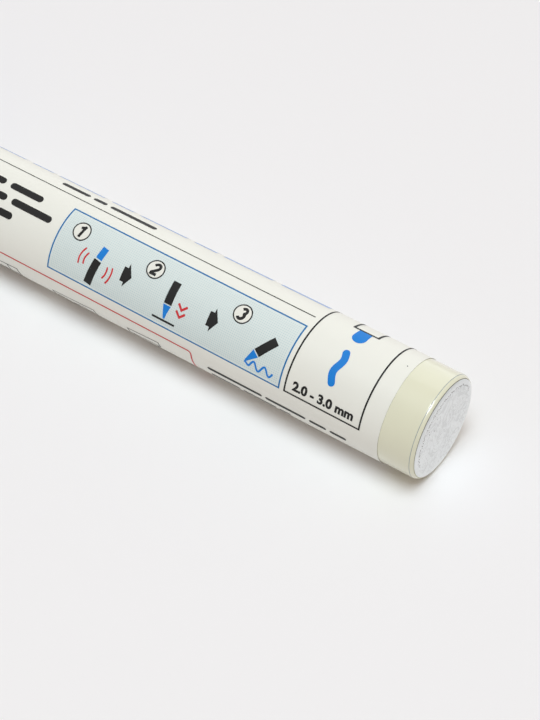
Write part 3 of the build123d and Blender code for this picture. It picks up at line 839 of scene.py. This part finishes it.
def photo_camera():
    """The photograph's viewpoint, fitted to the barrel's outline and the tail's circles."""
    camera = bpy.data.cameras.new("photo_camera")
    camera.lens = 94.72
    camera.sensor_width = 36.0
    camera.clip_start = 0.01
    eye = bpy.data.objects.new("photo_camera", camera)
    bpy.context.scene.collection.objects.link(eye)
    right, ahead = CAMERA_RIGHT.normalized(), CAMERA_AHEAD.normalized()
    up = right.cross(ahead).normalized()
    turn = Matrix((right, up, -ahead)).transposed().to_4x4()
    eye.matrix_world = Matrix.Translation(CAMERA_PLACE) @ turn
    return eye


class MARKER_OT_can(bpy.types.Operator):
    """Makes the lacquered can with its enamelled tail and fine edge lines"""

    bl_idname = "marker.can"
    bl_label = "Lacquered Can"

    def execute(self, context):
        sizes, colours = context.scene.marker_sizes, context.scene.marker_colours
        radius, bend = CAN_RADIUS, sizes.tail_round
        inner = radius - sizes.can_wall
        lacquer, enamel, gap, line = range(4)
        metal = dull_edge("dull_metal_edge", colours.tail_line)
        finishes = [cream_lacquer(colours), tail_enamel(colours), shaded_gap(colours), metal]

        # Angles on the rounded edge run from the side (0) to the tail face (a quarter turn)
        def on_bend(finish, *angles, sink=0.0):
            reach = bend - sink
            return [(bend - reach * math.sin(a), radius - bend + reach * math.cos(a), finish) for a in angles]

        def between(start, end, steps):
            return [start + (end - start) * i / steps for i in range(1, steps)]

        meet = math.acos((sizes.enamel_radius - radius + bend) / bend)
        half_gap = sizes.enamel_step / bend / 2
        hair = math.asin(1 - sizes.tail_line_station / bend)
        half_line = sizes.tail_line / bend / 2
        profile = [(0.0, 0.0, enamel), (0.0, radius - bend, enamel)]
        profile += on_bend(enamel, *between(math.pi / 2, meet + half_gap, 5))
        profile += on_bend(gap, meet + half_gap) + on_bend(gap, meet + half_gap * 0.3, sink=sizes.enamel_step)
        profile += on_bend(lacquer, meet - half_gap, *between(meet - half_gap, hair + half_line, 6))
        profile += on_bend(line, hair + half_line) + on_bend(line, hair, sink=sizes.tail_line_depth)
        profile += on_bend(lacquer, hair - half_line, *between(hair - half_line, 0.0, 3), 0.0)
        profile += [
            (CAN_LENGTH - MOUTH_CHAMFER, radius, lacquer),
            (CAN_LENGTH, radius - MOUTH_CHAMFER, lacquer),
            (CAN_LENGTH, inner, lacquer),
            (CAN_FLOOR + CAN_FLOOR_BEVEL, inner, lacquer),
            (CAN_FLOOR, inner - CAN_FLOOR_BEVEL, lacquer),
            (CAN_FLOOR, 0.0, None),
        ]
        mesh = turned("lacquered_can", profile, sizes.round_steps, finishes)
        new_piece("lacquered_can", mesh, "barrel", "can_lacquer", "barrel_can")

        marks = grown(
            "tail_scuffs",
            scuff_tree(),
            {
                "Ring Radius": sizes.scuff_ring, "Count": sizes.scuff_count, "Mark Radius": sizes.scuff_size,
                "Stray Density": STRAY_DENSITY, "Lift": SCUFF_LIFT, "Seed": 4,
                "Material": printed_ink("rubbed_enamel_marks", colours.scuffs, 0.25),
            },
        )
        new_piece("tail_scuffs", marks, "barrel", "can_lacquer")
        return {"FINISHED"}


class MARKER_OT_label(bpy.types.Operator):
    """Makes the label film with its lapped seam at the back"""

    bl_idname = "marker.label"
    bl_label = "Label Film"

    def execute(self, context):
        sizes, colours = context.scene.marker_sizes, context.scene.marker_colours
        # The film's cut edge takes a grey that is painted shade along the film's step
        finishes = [label_film(colours), dull_edge("film_edge_painted_shade", colours.film_edge)]
        film, edge = range(2)
        inner, shoulder = CAN_RADIUS + FILM_CLEARANCE, LABEL_RADIUS - FILM_CHAMFER
        profile = [
            (LABEL_NEAR, inner, edge),
            (LABEL_NEAR, shoulder, film),
            (LABEL_NEAR + FILM_CHAMFER, LABEL_RADIUS, film),
            (LABEL_FAR - FILM_CHAMFER, LABEL_RADIUS, film),
            (LABEL_FAR, shoulder, edge),
            (LABEL_FAR, inner, film),
        ]
        mesh = turned("label_film", profile, sizes.round_steps, finishes)
        new_piece("label_film", mesh, "barrel", "label_film", "label_sleeve")

        start, end = -LABEL_FAR / MM + SEAM_INSET, -LABEL_NEAR / MM - SEAM_INSET
        lap = bar(start, SEAM_PLACE, end, SEAM_PLACE + sizes.seam_lap / MM)
        mesh = wrapped("label_seam", lap, sizes.seam_rise, finishes[film], 0.0)
        solid = bmesh.new()
        solid.from_mesh(mesh)
        rim = [e for e in solid.edges if e.is_boundary]
        drop = bmesh.ops.extrude_edge_only(solid, edges=rim)
        for vert in [v for v in drop["geom"] if isinstance(v, bmesh.types.BMVert)]:
            scale = (LABEL_RADIUS - SEAM_SINK) / math.hypot(vert.co.y, vert.co.z)
            vert.co = (vert.co.x, vert.co.y * scale, vert.co.z * scale)
        bmesh.ops.recalc_face_normals(solid, faces=solid.faces)
        solid.to_mesh(mesh)
        solid.free()
        mesh.set_sharp_from_angle(angle=SHARP_ANGLE)
        new_piece("label_seam", mesh, "barrel", "label_film")
        return {"FINISHED"}


class MARKER_OT_print(bpy.types.Operator):
    """Prints the plain label design, ink by ink"""

    bl_idname = "marker.print"
    bl_label = "Label Print"

    def execute(self, context):
        sizes, colours = context.scene.marker_sizes, context.scene.marker_colours
        shapes = print_shapes(sizes)
        lift, skew = sizes.ink_lift, sizes.wrap_skew
        tint = printed_ink("pale_blue_tint", colours.panel, 0.02)
        new_piece("panel_tint", wrapped("panel_tint", bar(*PANEL), lift, tint, skew), "barrel", "label_film")

        left, low, right, high = PANEL
        pitch = sizes.screen_pitch / MM
        columns, rows = (int((room - SCREEN_MARGIN) / pitch) for room in (right - left, high - low))
        dots = grown(
            "panel_screen",
            screen_tree(),
            {
                "Width": (columns - 1) * pitch * MM, "Height": (rows - 1) * pitch * MM,
                "Columns": columns, "Rows": rows, "Dot Radius": sizes.screen_dot,
                "Low Scale": 1.3, "High Scale": 0.95,
                "Middle X": (left + right) / 2 * MM, "Middle Y": (low + high) / 2 * MM,
                "Barrel Radius": LABEL_RADIUS + 1.5 * lift, "Skew": skew, "Skew Centre": SKEW_CENTRE * MM,
                "Material": printed_ink("halftone_blue_ink", colours.screen),
            },
        )
        new_piece("panel_screen", dots, "barrel", "label_film")

        inks = {
            "white": printed_ink("white_ink", colours.film, 0.01),
            "pale": printed_ink("pale_blue_ink", colours.pale_ink),
            "slate": printed_ink("slate_blue_ink", colours.frame_ink),
            "blue": printed_ink("blue_ink", colours.blue_ink),
            "red": printed_ink("red_ink", colours.red_ink),
            "black": printed_ink("black_ink", colours.black_ink, 0.12),
        }
        for layer, (name, ink) in enumerate(inks.items()):
            mesh = wrapped("print_" + name, shapes[name], lift * (2.0 + 0.3 * layer), ink, skew)
            new_piece("print_" + name, mesh, "barrel", "label_film")
        return {"FINISHED"}


class MARKER_OT_front(bpy.types.Operator):
    """Finishes the stopper, the nose, the nib and the valve inside"""

    bl_idname = "marker.front"
    bl_label = "Front and Valve"

    def execute(self, context):
        sizes, colours = context.scene.marker_sizes, context.scene.marker_colours
        natural = moulded_plastic("natural_acetal", colours.white_plastic, 0.42, 0.55, 0.04)
        rubber = soft_rubber(colours)
        dress("stopper", moulded_plastic("moulded_white_polypropylene", colours.white_plastic, 0.36, 0.5))
        dress("nib_holder", moulded_plastic("moulded_blue_nose", colours.cap, 0.34, 0.46))
        dress("nib", pressed_fibre(colours))
        dress("valve_pin", natural)
        dress("valve_cage", natural)
        dress("valve_seat", rubber)
        dress("stopper_gasket", rubber)
        dress("mixing_ball", bright_steel("ground_steel_ball", colours.ball, 0.14, 0.24))

        # The real spring shortens towards the cage's floor by as much as the nib is pressed in; this one is wound at
        # rest, to the length of the imported spring
        low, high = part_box("valve_spring")
        wire = sizes.spring_wire
        mesh = grown(
            "coiled_spring",
            spring_tree(),
            {
                "Coil Radius": high.z - wire / 2, "Wire Radius": wire / 2, "Turns": sizes.spring_turns,
                "Rise": high.x - low.x - wire, "Start": low.x + wire / 2,
                "Material": bright_steel("drawn_spring_wire", colours.spring, 0.22, 0.34),
            },
        )
        mesh.shade_smooth()
        spring = new_piece("coiled_spring", mesh, "barrel", "spring_steel", "valve_spring")
        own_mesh(spring)
        return {"FINISHED"}


class MARKER_OT_cap(bpy.types.Operator):
    """Finishes the cap shell, its clip and the inner cap"""

    bl_idname = "marker.cap"
    bl_label = "Cap"

    def execute(self, context):
        colours = context.scene.marker_colours
        blue = moulded_plastic("moulded_blue_polypropylene", colours.cap, 0.32, 0.44)
        dress("cap_shell", blue)
        dress("cap_clip", blue)
        dress("inner_cap", moulded_plastic("milky_polyethylene", colours.milky_plastic, 0.4, 0.55))
        return {"FINISHED"}


class MARKER_OT_stage(bpy.types.Operator):
    """Sets the floor, the soft lights, the backdrop and the camera"""

    bl_idname = "marker.stage"
    bl_label = "Studio Stage"

    def execute(self, context):
        scene, colours = context.scene, context.scene.marker_colours
        scene.view_settings.view_transform = "Standard"
        scene.world = studio_world(colours)
        scene.camera = photo_camera()

        level = -LABEL_RADIUS - FLOOR_DROP
        corners = [(x, y, level) for x, y in bar(-FLOOR_HALF, -FLOOR_HALF, FLOOR_HALF, FLOOR_HALF)[0]]
        mesh = bpy.data.meshes.new("studio_floor")
        mesh.from_pydata(corners, [], [(0, 1, 2, 3)])
        mesh.materials.append(studio_paper(colours))
        floor = bpy.data.objects.new("studio_floor", mesh)
        scene.collection.objects.link(floor)

        # The front softbox gives marker and floor their shading and the floor its short shadow. The others skip the
        # floor: the overhead softbox softens the barrel's shading, the two panels show only in gloss, as the glint on
        # the tail's rim and the sheen along the barrel's top
        off_floor = bpy.data.collections.new("floor_group")
        off_floor.objects.link(floor)
        off_floor.collection_objects[0].light_linking.link_state = "EXCLUDE"
        # Name, place, size, watts, tint, what it skips, whether it lights matt shading, whether it shows in gloss
        for lamp in (
            ("front_softbox", (0.5, -0.84, 3.92), (2.2, 2.2), 122.0, (0.84, 0.947, 1.0), None, True, False),
            ("rim_panel", (0.51, -0.39, 1.79), (1.1, 1.1), 50.0, (0.9, 0.96, 1.0), off_floor, False, True),
            ("overhead_softbox", (0.1, 0.86, 0.62), (0.9, 0.9), 2.8, (1.0, 1.0, 1.0), off_floor, True, False),
            ("back_panel", (-0.35, 0.8, 0.45), (0.9, 1.3), 2.4, (0.88, 0.95, 1.0), off_floor, False, True),
        ):
            add_lamp(*lamp)
        return {"FINISHED"}


class MARKER_PT_panel(bpy.types.Panel):
    """Lists the marker's sizes, colours and steps"""

    bl_idname = "MARKER_PT_panel"
    bl_label = "Paint Marker"
    bl_space_type = "VIEW_3D"
    bl_region_type = "UI"
    bl_category = "Marker"

    def draw(self, context):
        layout = self.layout
        for group in (context.scene.marker_sizes, context.scene.marker_colours):
            box = layout.box()
            for key in group.bl_rna.properties.keys():
                if key not in ("rna_type", "name"):
                    box.prop(group, key)
        for step in STEPS:
            layout.operator(step.bl_idname)


STEPS = (MARKER_OT_can, MARKER_OT_label, MARKER_OT_print, MARKER_OT_front, MARKER_OT_cap, MARKER_OT_stage)
CLASSES = (MarkerSizes, MarkerColours, *STEPS, MARKER_PT_panel)


def register():
    for cls in CLASSES:
        bpy.utils.register_class(cls)
    bpy.types.Scene.marker_sizes = PointerProperty(type=MarkerSizes)
    bpy.types.Scene.marker_colours = PointerProperty(type=MarkerColours)


def unregister():
    del bpy.types.Scene.marker_colours
    del bpy.types.Scene.marker_sizes
    for cls in reversed(CLASSES):
        bpy.utils.unregister_class(cls)


def main():
    register()
    bpy.ops.marker.can()
    bpy.ops.marker.label()
    bpy.ops.marker.print()
    bpy.ops.marker.front()
    bpy.ops.marker.cap()
    bpy.ops.marker.stage()


if __name__ == "__main__":
    main()
